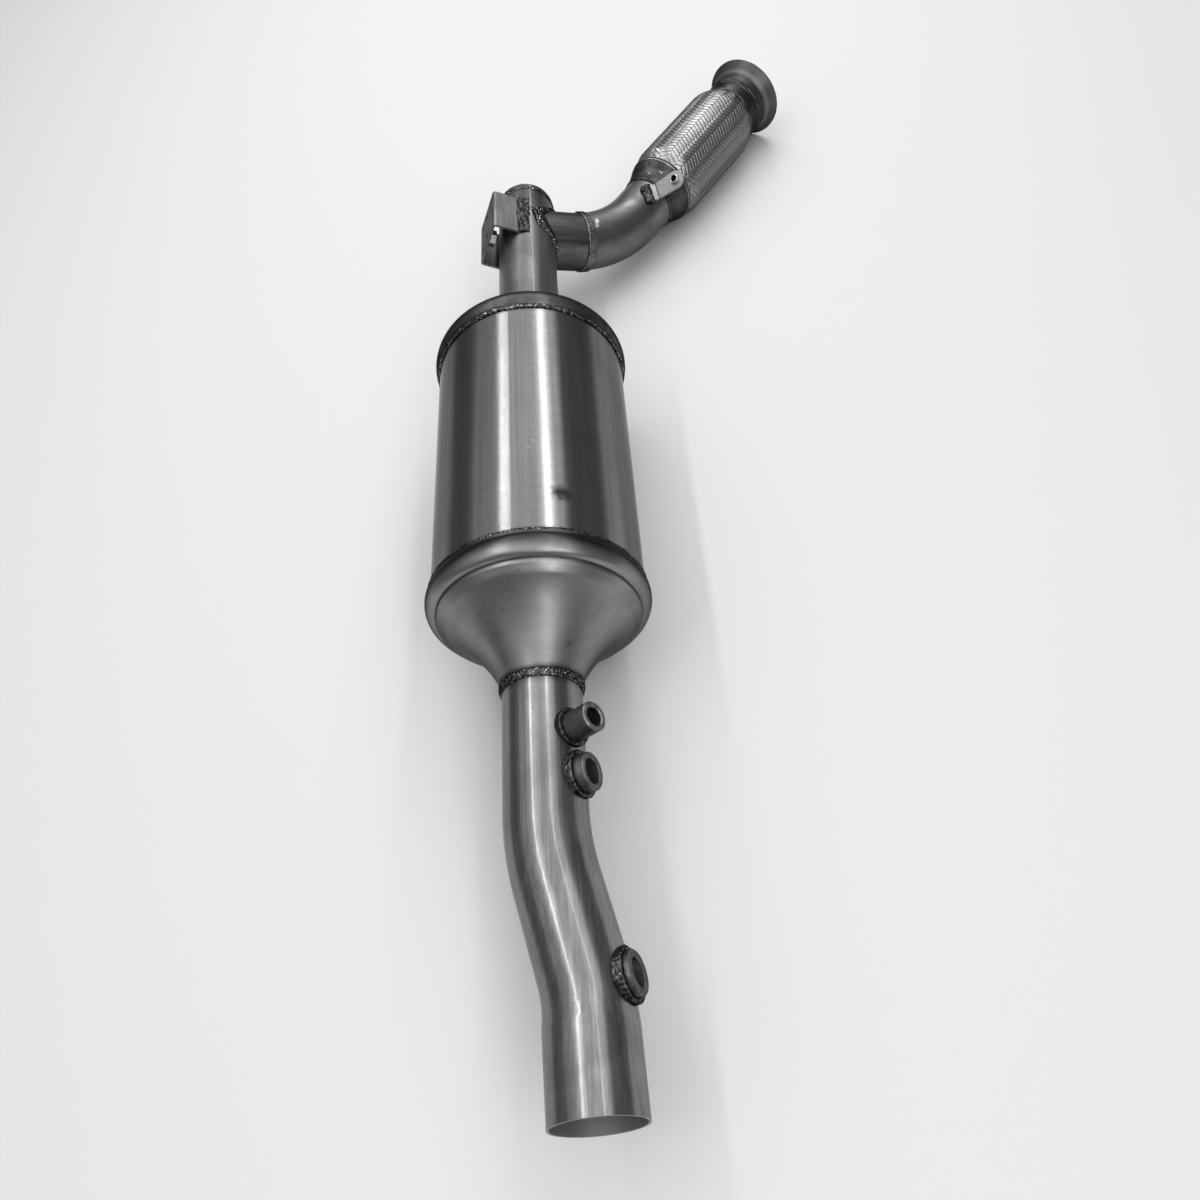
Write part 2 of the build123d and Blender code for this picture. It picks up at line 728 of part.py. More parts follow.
with BuildPart() as clip_tab:
    with BuildSketch(tab_plane):
        with BuildLine():
            near_side = Line((0, -tab_width / 2), (tab_end, -tab_end_r))
            far_side = Line((tab_end, tab_end_r), (0, tab_width / 2))
            ThreePointArc(near_side @ 1, (tab_length, 0), far_side @ 0)
            Line(far_side @ 1, near_side @ 0)
        make_face()
    extrude(amount=-tab_wall)
    with BuildSketch(tab_profile):
        with BuildLine():
            Polyline((-foot_step[0], -foot_step[1]), (0, 0), (tab_wall, 0))
            offset(amount=tab_wall, side=Side.LEFT)
        make_face()
    extrude(amount=tab_width / 2, both=True)
    bush_reach = tab_up * 2 * tab_wall
    add(rod(tab_hole - bush_reach, tab_hole + bush_reach, tab_bush_r), mode=Mode.SUBTRACT)
    add(branch_bar.part, mode=Mode.SUBTRACT)
finish(clip_tab, "clip_tab")
with BuildPart() as tab_bush:
    add(rod(tab_hole - tab_up * (tab_wall + tab_bush_tail), tab_hole + tab_up * tab_bush_height, tab_bush_r))
    add(
        rod(tab_hole - tab_up * 2 * tab_wall, tab_hole + tab_up * 2 * tab_bush_height, tab_bush_bore_r),
        mode=Mode.SUBTRACT,
    )
    chamfer(tab_bush.faces().sort_by(Axis(tab_plane.origin, tab_up))[-1].edges(), tab_bush_chamfer)
finish(tab_bush, "tab_bush")
tab_root = tab_plane.from_local_coords((-foot_step[0], 0, foot_step[1]))
weld_reach = tab_plane.y_dir * (tab_width / 2 + tab_weld_overhang)
with BuildPart() as tab_weld:
    add(rod(tab_root - weld_reach, tab_root + weld_reach, tab_weld_r))
    add(branch_bar.part, mode=Mode.SUBTRACT)
    add(clip_tab.part, mode=Mode.SUBTRACT)
finish(tab_weld, "tab_weld")
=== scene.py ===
# %% [markdown]
# # Dressing a diesel particulate filter
#
# The filter comes from the construction model as a fixed frame: every pipe, pressing and weld is already
# at its real size. This lesson gives each surface its finish, turns the plain weld rings into rough
# beads, and weaves the wire braid round the flexible section. Lengths are metres, and the frame is the
# construction model's: +Y runs along the canister towards the inlet, +Z is up.

# %% Load the frame
import json
import math

import bpy
from mathutils import Matrix, Vector


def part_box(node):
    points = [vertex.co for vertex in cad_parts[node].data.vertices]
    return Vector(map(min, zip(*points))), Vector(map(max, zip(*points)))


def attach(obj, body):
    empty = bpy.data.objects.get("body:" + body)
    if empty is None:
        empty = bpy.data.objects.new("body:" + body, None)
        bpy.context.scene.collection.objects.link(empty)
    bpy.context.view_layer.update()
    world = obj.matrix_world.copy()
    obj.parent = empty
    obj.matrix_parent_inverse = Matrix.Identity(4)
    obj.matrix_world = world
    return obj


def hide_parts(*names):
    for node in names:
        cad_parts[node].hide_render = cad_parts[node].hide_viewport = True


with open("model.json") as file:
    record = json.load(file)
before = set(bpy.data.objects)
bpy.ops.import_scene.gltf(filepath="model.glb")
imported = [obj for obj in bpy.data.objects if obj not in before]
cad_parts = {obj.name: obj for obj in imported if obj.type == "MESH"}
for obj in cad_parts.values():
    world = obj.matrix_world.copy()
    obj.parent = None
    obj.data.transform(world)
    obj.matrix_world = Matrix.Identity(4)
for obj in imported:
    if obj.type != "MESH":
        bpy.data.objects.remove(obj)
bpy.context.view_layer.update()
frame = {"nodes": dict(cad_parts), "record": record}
nodes = frame["nodes"]
mounts = {mount["name"]: mount for mount in frame["record"]["mounts"]}
mm = 0.001
print("nodes in the frame:", len(nodes), "mounts:", len(mounts))

# %% [markdown]
# ## Camera
#
# The photograph was taken from above and a little behind the outlet end. Its place, direction and focal
# length were worked out from the outlines of the pipes and rims. A camera matrix has the right, up and
# backward directions as its columns, so the three directions can be written in as they were measured.

# %% Camera
camera_place = Vector((0.12158, -0.49996, 0.54528))
forward = Vector((-0.11595, 0.56353, -0.81792)).normalized()
right = Vector((0.981, -0.06398, -0.18315))
right = (right - forward * right.dot(forward)).normalized()
upward = right.cross(forward)
camera_data = bpy.data.cameras.new("photo_camera")
camera_data.sensor_width = 36.0
camera_data.lens = 28.14
camera_data.clip_start = 10 * mm
camera = bpy.data.objects.new("photo_camera", camera_data)
turn = Matrix((right, upward, -forward)).transposed().to_4x4()
camera.matrix_world = Matrix.Translation(camera_place) @ turn
bpy.context.scene.collection.objects.link(camera)
bpy.context.scene.camera = camera
print("camera looks along", [round(c, 3) for c in forward])

# %% [markdown]
# ## Light
#
# The bright lines that run along the canister and again along both pipes are one pair of long lamps,
# mirrored in every round surface. Following the camera's rays to the canister and off again puts the
# lamps overhead, one on each side. The right line is brighter towards the inlet, so it is made of two
# lamps end to end, and a third one behind the camera lights the cone. Dimmer, wider lamps beside them
# give each line its soft edge, a soft box hangs between them, panels light the left side and the front,
# and a plain dim world does the rest. An area lamp's power is its brightness times its area times pi, so
# each lamp is given by its brightness.

# %% Lamps
def overhead_lamp(name, x, width, brightness, height=1.5, y=0.8, length=5.0):
    """A long area lamp over the part, parallel to the canister and facing down at it."""
    lamp_data = bpy.data.lights.new(name, "AREA")
    lamp_data.shape = "RECTANGLE"
    lamp_data.size = width
    lamp_data.size_y = length
    lamp_data.energy = brightness * math.pi * width * length
    lamp = bpy.data.objects.new(name, lamp_data)
    lamp.location = (x, y, height)
    lamp.rotation_euler = (0, math.atan2(x, height), 0)
    bpy.context.scene.collection.objects.link(lamp)
    print(name, round(lamp_data.energy, 1), "watts")
    return lamp


overhead_lamp("left_strip", x=-0.59, width=0.075, brightness=14.0, y=1.2, length=4.2)
overhead_lamp("left_glow", x=-0.44, width=0.18, brightness=0.8, y=1.2, length=4.2)
overhead_lamp("right_strip", x=0.71, width=0.20, brightness=8.5, y=2.1, length=2.8)
overhead_lamp("right_near", x=0.70, width=0.11, brightness=5.0, y=-0.1, length=1.6)
overhead_lamp("cone_light", x=0.80, width=0.50, brightness=5.0, y=-2.0, length=2.2)
overhead_lamp("right_glow", x=1.09, width=0.48, brightness=1.25, y=0.1, length=6.4)
overhead_lamp("soft_box", x=0.06, width=1.05, brightness=1.1, height=1.6)
overhead_lamp("left_panel", x=-1.05, width=1.0, brightness=0.45, height=1.2)
front_panel = overhead_lamp("front_panel", x=0.0, width=2.2, brightness=0.45, height=1.7, y=-2.6, length=1.2)
front_panel.rotation_euler = (math.radians(-52), 0, 0)

# %% World
world = bpy.data.worlds.new("studio")
bpy.context.scene.world = world
world.use_nodes = True
sky = world.node_tree.nodes["Background"]
sky.inputs["Color"].default_value = (1, 1, 1, 1)
sky.inputs["Strength"].default_value = 0.20
bpy.context.scene.view_settings.view_transform = "Standard"
print("world strength", round(sky.inputs["Strength"].default_value, 2))

# %% [markdown]
# ## Floor
#
# The part rests on the rims of its canister, so the floor lies at the lowest point of the outlet cone.
# It is plain and pale, so that the part's shadow shows and its underside gets some light back.

# %% Floor
floor_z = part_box("outlet_cone")[0].z
bpy.ops.object.select_all(action="DESELECT")
bpy.ops.mesh.primitive_plane_add(size=30, location=(0, 0, floor_z))
floor = bpy.context.object
floor.name = "studio_floor"
floor_material = bpy.data.materials.new("pale_floor")
floor_material.use_nodes = True
floor_shader = floor_material.node_tree.nodes["Principled BSDF"]
floor_shader.inputs["Base Color"].default_value = (0.68, 0.68, 0.68, 1)
floor_shader.inputs["Roughness"].default_value = 0.9
floor.data.materials.append(floor_material)
print("floor at", round(floor_z, 4))

# %% [markdown]
# ## Small helpers for materials
#
# Every material is a little tree of nodes. These helpers keep the trees short: one links or sets a
# socket, one adds a node with all its values, and two more start a group whose sockets are named and use
# it, so that an effect is built once and used in many materials with its own values.

# %% Node helpers
def feed(tree, socket, value):
    """Links this socket to another one, or sets it to a plain value."""
    if isinstance(value, bpy.types.NodeSocket):
        tree.links.new(value, socket)
    else:
        socket.default_value = value


def add_node(tree, kind, label="", **values):
    """A node with these settings and socket values. A key such as _2 is the number of a socket."""
    made = tree.nodes.new(kind)
    made.label = label
    for name, value in values.items():
        if hasattr(made, name) and name not in made.inputs:
            setattr(made, name, value)
            continue
        key = int(name[1:]) if name[0] == "_" else name.replace("_", " ").title()
        feed(tree, made.inputs[key], value)
    return made


def start_group(name, inputs, outputs):
    """An empty node group with these sockets, each given as name: type."""
    group = bpy.data.node_groups.new(name, "ShaderNodeTree")
    for in_out, sockets in (("INPUT", inputs), ("OUTPUT", outputs)):
        for socket, kind in sockets.items():
            group.interface.new_socket(socket, in_out=in_out, socket_type=f"NodeSocket{kind}")
    entry = group.nodes.new("NodeGroupInput")
    leave = group.nodes.new("NodeGroupOutput")
    print("shared effect:", name)
    return group, entry.outputs, leave.inputs


def use_group(tree, group, **values):
    """Adds a group to a tree, sets its sockets and gives its first output."""
    made = tree.nodes.new("ShaderNodeGroup")
    made.node_tree = group
    for name, value in values.items():
        feed(tree, made.inputs[name], value)
    return made.outputs[0]


# %% [markdown]
# ## Effects that the metals share
#
# Brushed grain is noise that is stretched by a Mapping node in the material. Patches are slow noise that
# dulls and darkens the steel.

# %% Grain and patches
grain, entry, leave = start_group("grain", {"Vector": "Vector"}, {"Grain": "Float"})
fine = add_node(grain, "ShaderNodeTexNoise", "fine lines", Vector=entry["Vector"], Scale=1.0, Detail=3.0,
                Roughness=0.65)
spread = add_node(grain, "ShaderNodeMapRange", "spread", _0=fine.outputs["Fac"], _1=0.3, _2=0.7)
feed(grain, leave["Grain"], spread.outputs[0])

patches, entry, leave = start_group("patches", {"Vector": "Vector", "Scale": "Float"}, {"Mask": "Float"})
slow = add_node(patches, "ShaderNodeTexNoise", "slow noise", Vector=entry["Vector"], Scale=entry["Scale"],
                Detail=4.0, Roughness=0.55, Distortion=0.4)
cut = add_node(patches, "ShaderNodeMapRange", "cut", interpolation_type="SMOOTHSTEP",
               _0=slow.outputs["Fac"], _1=0.38, _2=0.66)
feed(patches, leave["Mask"], cut.outputs[0])

# %% [markdown]
# A band is a soft stripe round a pipe, used for the heat marks at the welds, and in places for painted shade
# and painted highlights. A mark is a soft spot with a ragged edge at one place. Specks are the small bright
# dots of weld spatter, partly painted glints off the bead's facets.

# %% Bands, marks and specks
band, entry, leave = start_group(
    "band", {"Position": "Float", "Centre": "Float", "Reach": "Float"}, {"Mask": "Float"}
)
away = add_node(band, "ShaderNodeMath", "away from the centre", operation="SUBTRACT",
                _0=entry["Position"], _1=entry["Centre"])
size = add_node(band, "ShaderNodeMath", "distance", operation="ABSOLUTE", _0=away.outputs[0])
fade = add_node(band, "ShaderNodeMapRange", "fade", interpolation_type="SMOOTHSTEP",
                _0=size.outputs[0], _2=entry["Reach"], _3=1.0, _4=0.0)
feed(band, leave["Mask"], fade.outputs[0])

mark, entry, leave = start_group(
    "mark", {"Vector": "Vector", "Centre": "Vector", "Radius": "Float", "Ragged": "Float"}, {"Mask": "Float"}
)
wobble = add_node(mark, "ShaderNodeTexNoise", "wobble", Vector=entry["Vector"], Scale=260.0, Detail=2.0)
apart = add_node(mark, "ShaderNodeVectorMath", "distance", operation="DISTANCE",
                 _0=entry["Vector"], _1=entry["Centre"])
shift = add_node(mark, "ShaderNodeMath", "ragged edge", operation="MULTIPLY_ADD",
                 _0=wobble.outputs["Fac"], _1=entry["Ragged"], _2=apart.outputs["Value"])
spot = add_node(mark, "ShaderNodeMapRange", "spot", interpolation_type="SMOOTHSTEP",
                _0=shift.outputs[0], _2=entry["Radius"], _3=1.0, _4=0.0)
feed(mark, leave["Mask"], spot.outputs[0])

specks, entry, leave = start_group(
    "specks", {"Vector": "Vector", "Scale": "Float", "Low": "Float"}, {"Mask": "Float"}
)
flake = add_node(specks, "ShaderNodeTexNoise", "flakes", Vector=entry["Vector"], Scale=entry["Scale"],
                 Detail=4.0, Roughness=0.6, Distortion=0.6)
above = add_node(specks, "ShaderNodeMath", "above", operation="SUBTRACT",
                 _0=flake.outputs["Fac"], _1=entry["Low"])
sharp = add_node(specks, "ShaderNodeMapRange", "sharp", _0=above.outputs[0], _2=0.04)
feed(specks, leave["Mask"], sharp.outputs[0])

# %% [markdown]
# ## One recipe for all the steels
#
# The parts of an exhaust differ in how they were made, not in what they are: rolled sheet is brushed round
# the canister, drawn pipe is smooth and striped along its length, and what was near a weld is darker. So one
# recipe serves them all. Its colour comes first: a grey with its grain, at times a second set of streaks
# across it, which is grain on the pipe and painted reflection on the canister, and the dull patches. A site
# is a place and a turn: the grain follows its axes.

# %% Colour of the steel
canister_site = ((0, 0, 0), Matrix.Identity(3))


def grey(level):
    """A grey of this level."""
    return (level, level, level, 1.0)


def mix_colour(tree, low, high, mask, label):
    """Colour that goes from low to high as the mask goes from 0 to 1."""
    return add_node(tree, "ShaderNodeMix", label, data_type="RGBA", _0=mask, _6=low, _7=high).outputs[2]


def site_axes(tree, site):
    """Object coordinates, and the same in the axes of a site."""
    centre, turned = site
    back = turned.transposed()
    place = add_node(tree, "ShaderNodeTexCoord", "object coordinates").outputs["Object"]
    local = add_node(tree, "ShaderNodeMapping", "in the site's axes", Vector=place,
                     Rotation=back.to_euler(), Location=-(back @ Vector(centre)))
    return place, local.outputs[0]


def brushed(tree, local, stretch, label):
    """Grain that is drawn out by this much along each axis."""
    stretched = add_node(tree, "ShaderNodeMapping", label, Vector=local, Scale=stretch)
    return use_group(tree, grain, Vector=stretched.outputs[0])


def steel_colour(tree, local, lines, cloudy, level, grain_depth, cross, patch_level):
    """Grey with its grain, the cross grain over it and the dull patches."""
    dark = grey(level * (1 - grain_depth))
    light = grey(level * (1 + grain_depth))
    colour = mix_colour(tree, dark, light, lines, "grain")
    if cross:
        stretch, depth = cross
        veil = brushed(tree, local, stretch, "cross grain")
        shade = add_node(tree, "ShaderNodeMapRange", "veil", _0=veil, _3=1 - depth, _4=1 + depth)
        veiled = add_node(tree, "ShaderNodeVectorMath", "veiled", operation="SCALE",
                          _0=colour, Scale=shade.outputs[0])
        colour = veiled.outputs[0]
    dull = add_node(tree, "ShaderNodeMix", "patches", data_type="RGBA", blend_type="MULTIPLY",
                    _0=cloudy, _6=colour, _7=grey(patch_level))
    return dull.outputs[2]


# %% [markdown]
# The roughness rises in the patches and follows the grain a little. The grain also bends the shading, by
# far less than the eye could measure, and a pressed sheet may get a swell: a Bump that bends the shading
# as if the sheet rose there, where a highlight on the real pressing is wider than the plain form gives.

# %% Roughness and shading of the steel
grain_height = 0.2 * mm
least_roughness = 0.05


def steel_roughness(tree, lines, cloudy, roughness, mottle, streaks):
    """Roughness that changes by mottle in the patches, and by streaks with the grain."""
    smooth = max(roughness - 0.4 * mottle, least_roughness)
    worn = roughness + 0.6 * mottle
    patchy = add_node(tree, "ShaderNodeMapRange", "roughness", _0=cloudy, _3=smooth, _4=worn)
    streaked = add_node(tree, "ShaderNodeMath", "dull streaks", operation="MULTIPLY_ADD",
                        _0=lines, _1=2 * streaks, _2=patchy.outputs[0])
    centred = add_node(tree, "ShaderNodeMath", "centred", operation="SUBTRACT",
                       _0=streaked.outputs[0], _1=streaks)
    return centred.outputs[0]


def steel_shading(tree, axes, lines, bump, swell):
    """Shading normal with the grain in it, and the swell under it."""
    raised = add_node(tree, "ShaderNodeBump", "grain", Strength=bump, Distance=grain_height, Height=lines)
    if swell:
        axis, start, end, height = swell
        rise = add_node(tree, "ShaderNodeMapRange", "swell", interpolation_type="SMOOTHSTEP",
                        _0=axes[axis], _1=start, _2=end)
        bent = add_node(tree, "ShaderNodeBump", "swell", Strength=1.0, Distance=height,
                        Height=rise.outputs[0])
        feed(tree, raised.inputs["Normal"], bent.outputs[0])
    return raised.outputs[0]


# %% [markdown]
# The recipe itself puts these together and paints the bands, marks and specks over the colour. Two
# constants of the shader do much of the work: a coat adds a sharper shine over a satin surface, and the
# specular tint darkens what the steel mirrors at a grazing angle, which keeps the pale floor out of the
# edges of the pipes.

# %% Steel recipe
coat_ior = 1.8
raggedness = 0.6
x_axis = 0
y_axis = 1


def steel(name, level, roughness, stretch, grain_depth=0.3, patch_scale=25.0, patch_level=0.75,
          site=canister_site, bands=(), marks=(), dots=None, metallic=1.0, bump=0.15, streaks=0.0,
          mottle=0.14, cross=None, coat=0.0, coat_roughness=0.12, swell=None, edge=0.3):
    """A metal finish.

    Bands are (axis, centre, reach, level), marks are (place, radius, level), dots are (scale, low, level),
    cross is a second grain as (stretch, depth), swell is (axis, start, end, height), and edge is the tint
    of the grazing reflection.
    """
    material = bpy.data.materials.new(name)
    material.use_nodes = True
    tree = material.node_tree
    shader = tree.nodes["Principled BSDF"].inputs
    shader["Metallic"].default_value = metallic
    shader["Coat Weight"].default_value = coat
    shader["Coat Roughness"].default_value = coat_roughness
    shader["Coat IOR"].default_value = coat_ior
    shader["Specular Tint"].default_value = grey(edge if metallic else 1.0)
    place, local = site_axes(tree, site)
    axes = add_node(tree, "ShaderNodeSeparateXYZ", "axes", Vector=local).outputs
    lines = brushed(tree, local, stretch, "stretched grain")
    cloudy = use_group(tree, patches, Vector=place, Scale=patch_scale)
    colour = steel_colour(tree, local, lines, cloudy, level, grain_depth, cross, patch_level)
    for axis, centre, reach, band_level in bands:
        stripe = use_group(tree, band, Position=axes[axis], Centre=centre, Reach=reach)
        colour = mix_colour(tree, colour, grey(band_level), stripe, "heat band")
    for centre, radius, mark_level in marks:
        spot = use_group(tree, mark, Vector=place, Centre=centre, Radius=radius, Ragged=radius * raggedness)
        colour = mix_colour(tree, colour, grey(mark_level), spot, "mark")
    if dots:
        scale, low, dot_level = dots
        dotted = use_group(tree, specks, Vector=place, Scale=scale, Low=low)
        colour = mix_colour(tree, colour, grey(dot_level), dotted, "specks")
    feed(tree, shader["Base Color"], colour)
    feed(tree, shader["Roughness"], steel_roughness(tree, lines, cloudy, roughness, mottle, streaks))
    feed(tree, shader["Normal"], steel_shading(tree, axes, lines, bump, swell))
    return material


def dress(material, *names):
    """Gives these CAD nodes a material of their own."""
    for name in names:
        mesh = nodes[name].data
        mesh.materials.clear()
        mesh.materials.append(material)
    print(material.name, "on", ", ".join(names))


# %% [markdown]
# ## The inside of a pipe end
#
# The inner wall of a pipe never sees the brush: it is dull and even. Both walls belong to one CAD node
# with one material, so the material itself tells them apart: a point is on the lining when it is nearer
# to the pipe's axis than the outer wall and not too deep in the end.

# %% Lining
def line_inside(material, site, radius, depth, level, roughness):
    """A finish of its own for the inside of a straight pipe end. The site's X axis runs out of the end."""
    tree = material.node_tree
    shader = tree.nodes["Principled BSDF"].inputs
    local = site_axes(tree, site)[1]
    flat = add_node(tree, "ShaderNodeVectorMath", "square to the axis", operation="MULTIPLY",
                    _0=local, _1=(0, 1, 1))
    reach = add_node(tree, "ShaderNodeVectorMath", "reach", operation="LENGTH", _0=flat.outputs[0])
    inner = add_node(tree, "ShaderNodeMath", "inner", operation="LESS_THAN",
                     _0=reach.outputs["Value"], _1=radius)
    station = add_node(tree, "ShaderNodeSeparateXYZ", "station", Vector=local)
    near = add_node(tree, "ShaderNodeMath", "near the end", operation="GREATER_THAN",
                    _0=station.outputs[0], _1=-depth)
    mask = add_node(tree, "ShaderNodeMath", "lining", operation="MULTIPLY",
                    _0=inner.outputs[0], _1=near.outputs[0]).outputs[0]
    colour = shader["Base Color"].links[0].from_socket
    feed(tree, shader["Base Color"], mix_colour(tree, colour, grey(level), mask, "lining"))
    rough = shader["Roughness"].links[0].from_socket
    lined = add_node(tree, "ShaderNodeMix", "lining roughness", _0=mask, _2=rough, _3=roughness)
    feed(tree, shader["Roughness"], lined.outputs[0])


# %% [markdown]
# ## Finishes of the canister and the pressings
#
# The canister's sheet is brushed round its axis, so its grain is fine along Y and long round the shell.
# Its marks are a dark smudge, two light scuffs and a few small stains. Each is given by how far along the
# axis it lies and by its angle round the canister, which are easy to read off the real thing.

# %% Places round an axis
up = Vector((0, 0, 1))
middle = Vector((0, 0, 0))
canister_way = Vector((0, 1, 0))
shell_size = mounts["canister_band"]["dims"]
shell_r = shell_size["r_mm"]
skirt_y = shell_size["length_mm"] * mm / 2


def round_axis(centre, way, radius, station, degrees):
    """A place round a level axis. The angle starts on the +X side and rises towards +Z."""
    angle = math.radians(degrees)
    side = way.cross(up)
    return centre + way * station + (side * math.cos(angle) + up * math.sin(angle)) * radius


def canister_mark(radius, station, degrees, size, level):
    """A mark at a radius and a station of the canister's axis, all lengths in millimetres."""
    return (round_axis(middle, canister_way, radius * mm, station * mm, degrees), size * mm, level)


print("top of the canister", round_axis(middle, canister_way, shell_r * mm, 0, 90))

# %% Canister shell
smudge = (
    canister_mark(shell_r, -80.0, 65.8, size=13.0, level=0.02),
    canister_mark(shell_r, -80.0, 64.2, size=14.0, level=0.02),
    canister_mark(shell_r, -81.5, 63.0, size=12.0, level=0.03),
)
scuffs = (
    canister_mark(shell_r, -32.5, 77.8, size=4.0, level=0.30),
    canister_mark(shell_r, -39.0, 80.5, size=3.0, level=0.30),
)
shell_stains = (
    canister_mark(shell_r, -12.3, 12.6, size=2.0, level=0.06),
    canister_mark(shell_r, -55.3, 25.8, size=2.2, level=0.07),
    canister_mark(shell_r, -71.4, 146.0, size=4.0, level=0.09),
)
# The shell's cross grain is painted reflection: streaks along the axis where the brushed sheet mirrors the
# room.
shell_steel = steel(
    "brushed_shell", level=0.21, roughness=0.17, stretch=(12, 1400, 12), grain_depth=0.12, patch_scale=16,
    patch_level=0.92, mottle=0.02, bump=0.10, cross=((150, 4, 150), 0.16), edge=0.45,
    marks=smudge + scuffs + shell_stains,
    bands=[(y_axis, -skirt_y, 6 * mm, 0.09), (y_axis, skirt_y, 8 * mm, 0.09)],
)
dress(shell_steel, "canister_shell")

# %% [markdown]
# The cone and the inlet cap are pressed from plain sheet, satin and nearly even. The cone is burnt dark
# beside its two welds. At the rim this darkening is also painted shade over the rounded skirt's highlight,
# and the groove behind the rim carries painted shade too. The cone has small dark pits on its right side,
# and a wider highlight on its shoulder, which the swell gives it.

# %% Outlet cone and inlet cap
cone_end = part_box("outlet_cone")[0].y
shaded_groove_y = -120.5 * mm
shoulder_start = -133.5 * mm
shoulder_end = -140.0 * mm
shoulder_height = 2.1 * mm
pits = (
    canister_mark(78.2, -130.7, 39.9, size=1.1, level=0.015),
    canister_mark(74.5, -132.4, 27.6, size=1.5, level=0.015),
    canister_mark(78.0, -130.9, 23.2, size=1.3, level=0.015),
    canister_mark(71.5, -136.3, 33.4, size=1.0, level=0.015),
    canister_mark(70.8, -136.7, 42.9, size=0.9, level=0.015),
)
cone_stains = (
    canister_mark(50.3, -153.1, 106.6, size=3.0, level=0.07),
    canister_mark(68.5, -138.1, 88.3, size=2.5, level=0.06),
    canister_mark(52.8, -150.5, 125.9, size=2.5, level=0.07),
    canister_mark(35.6, -172.0, 45.3, size=6.0, level=0.09),
)
# The band at the rim is heat tint and painted shade over the skirt's highlight; the band at the groove is
# painted shade.
cone_steel = steel(
    "pressed_cone", level=0.27, roughness=0.37, stretch=(14, 300, 14), grain_depth=0.05, patch_scale=20,
    patch_level=0.78, bump=0.05, coat=0.12, coat_roughness=0.22, edge=0.12, marks=pits + cone_stains,
    swell=(y_axis, shoulder_start, shoulder_end, shoulder_height),
    bands=[(y_axis, -skirt_y, 12 * mm, 0.06), (y_axis, shaded_groove_y, 10 * mm, 0.04),
           (y_axis, cone_end, 4 * mm, 0.06)],
)
cap_steel = steel("pressed_cap", level=0.10, roughness=0.36, stretch=(14, 500, 14), grain_depth=0.20,
                  patch_scale=60, patch_level=0.6)
dress(cone_steel, "outlet_cone")
dress(cap_steel, "inlet_end_cap")

# %% [markdown]
# ## Finishes of the pipes
#
# Drawn pipe is smooth along its length, and it darkens towards each weld. The outlet pipe still has the
# shine of new pipe, so it gets a coat, and its open end shows its lining.

# %% Outlet pipe
along_y = (360, 8, 360)
x_way = Vector((1, 0, 0))
socket = mounts["outlet_socket"]
outlet_way = Vector(socket["axis"])
outlet_end = Vector(socket["pos_m"]) + outlet_way * (socket["dims"]["length_mm"] / 2 * mm)
outlet_turn = x_way.rotation_difference(outlet_way).to_matrix()
pipe_steel = steel(
    "drawn_pipe", level=0.20, roughness=0.29, stretch=along_y, grain_depth=0.24, streaks=0.03, bump=0.08,
    mottle=0.04, coat=0.6, cross=((900, 5, 900), 0.22), bands=[(y_axis, cone_end - 4 * mm, 8 * mm, 0.06)],
)
line_inside(pipe_steel, (outlet_end, outlet_turn), radius=27 * mm, depth=62 * mm, level=0.30, roughness=0.60)
dress(pipe_steel, "outlet_pipe")

# %% [markdown]
# The header is duller. Welding has darkened its front half, the ground beside the branch and the line beside
# the bracket, and its lengthwise seam shows as a thin light line. The stub's grain runs round it, and the
# elbow is even and dark but for a short white streak, which is a painted highlight, and a lighter smear on
# its outer side.

# %% Header, stub and elbow
pipe_r = 27.25
header_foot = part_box("header_weld")[1].y
header_marks = (
    canister_mark(pipe_r, 329.0, 28.4, size=12.0, level=0.07),
    canister_mark(pipe_r, 308.0, 12.8, size=10.0, level=0.08),
    canister_mark(pipe_r, 333.0, 94.2, size=8.0, level=0.06),
    canister_mark(pipe_r, 320.0, 94.2, size=8.0, level=0.06),
    canister_mark(pipe_r, 306.0, 94.2, size=8.0, level=0.07),
)
burnt_y = 350 * mm
seam_x = 10.4 * mm
header_steel = steel(
    "header_pipe_steel", level=0.19, roughness=0.42, stretch=along_y, grain_depth=0.14, streaks=0.04,
    bump=0.10, mottle=0.06, edge=0.9, marks=header_marks,
    bands=[(y_axis, burnt_y, 55 * mm, 0.09), (y_axis, header_foot, 10 * mm, 0.05),
           (x_axis, seam_x, 0.9 * mm, 0.25)],
)
dress(header_steel, "header_pipe", "header_cap")

branch_way = Vector((0.864, 0.247, -0.438))
branch_turn = x_way.rotation_difference(branch_way).to_matrix()
stub_steel = steel("stub_pipe_steel", level=0.12, roughness=0.36, stretch=(14, 260, 260), grain_depth=0.35,
                   site=(middle, branch_turn))
dress(stub_steel, "branch_stub")

flex_way = Vector(mounts["inlet_flare_rim"]["axis"])
elbow_end = Vector((0.10675, 0.37105, -0.0398))
heading = math.atan2(flex_way.y, flex_way.x)
flex_site = (elbow_end, Matrix.Rotation(heading, 3, "Z"))
# The short white streak is a painted highlight on the elbow: a row of white marks.
glint_top = Vector((0.0699, 0.3269, -0.0042))
glint_foot = Vector((0.0691, 0.3198, -0.0060))
smear = (Vector((0.1049, 0.3569, -0.0133)), 11.0 * mm, 0.19)
elbow_glint_and_smear = [(glint_top.lerp(glint_foot, step / 3), 4.4 * mm, 1.00) for step in range(4)] + [smear]
elbow_steel = steel("elbow_pipe_steel", level=0.16, roughness=0.38, stretch=(60, 60, 60), grain_depth=0.08,
                    site=flex_site, marks=elbow_glint_and_smear, edge=0.8)
dress(elbow_steel, "elbow_pipe")

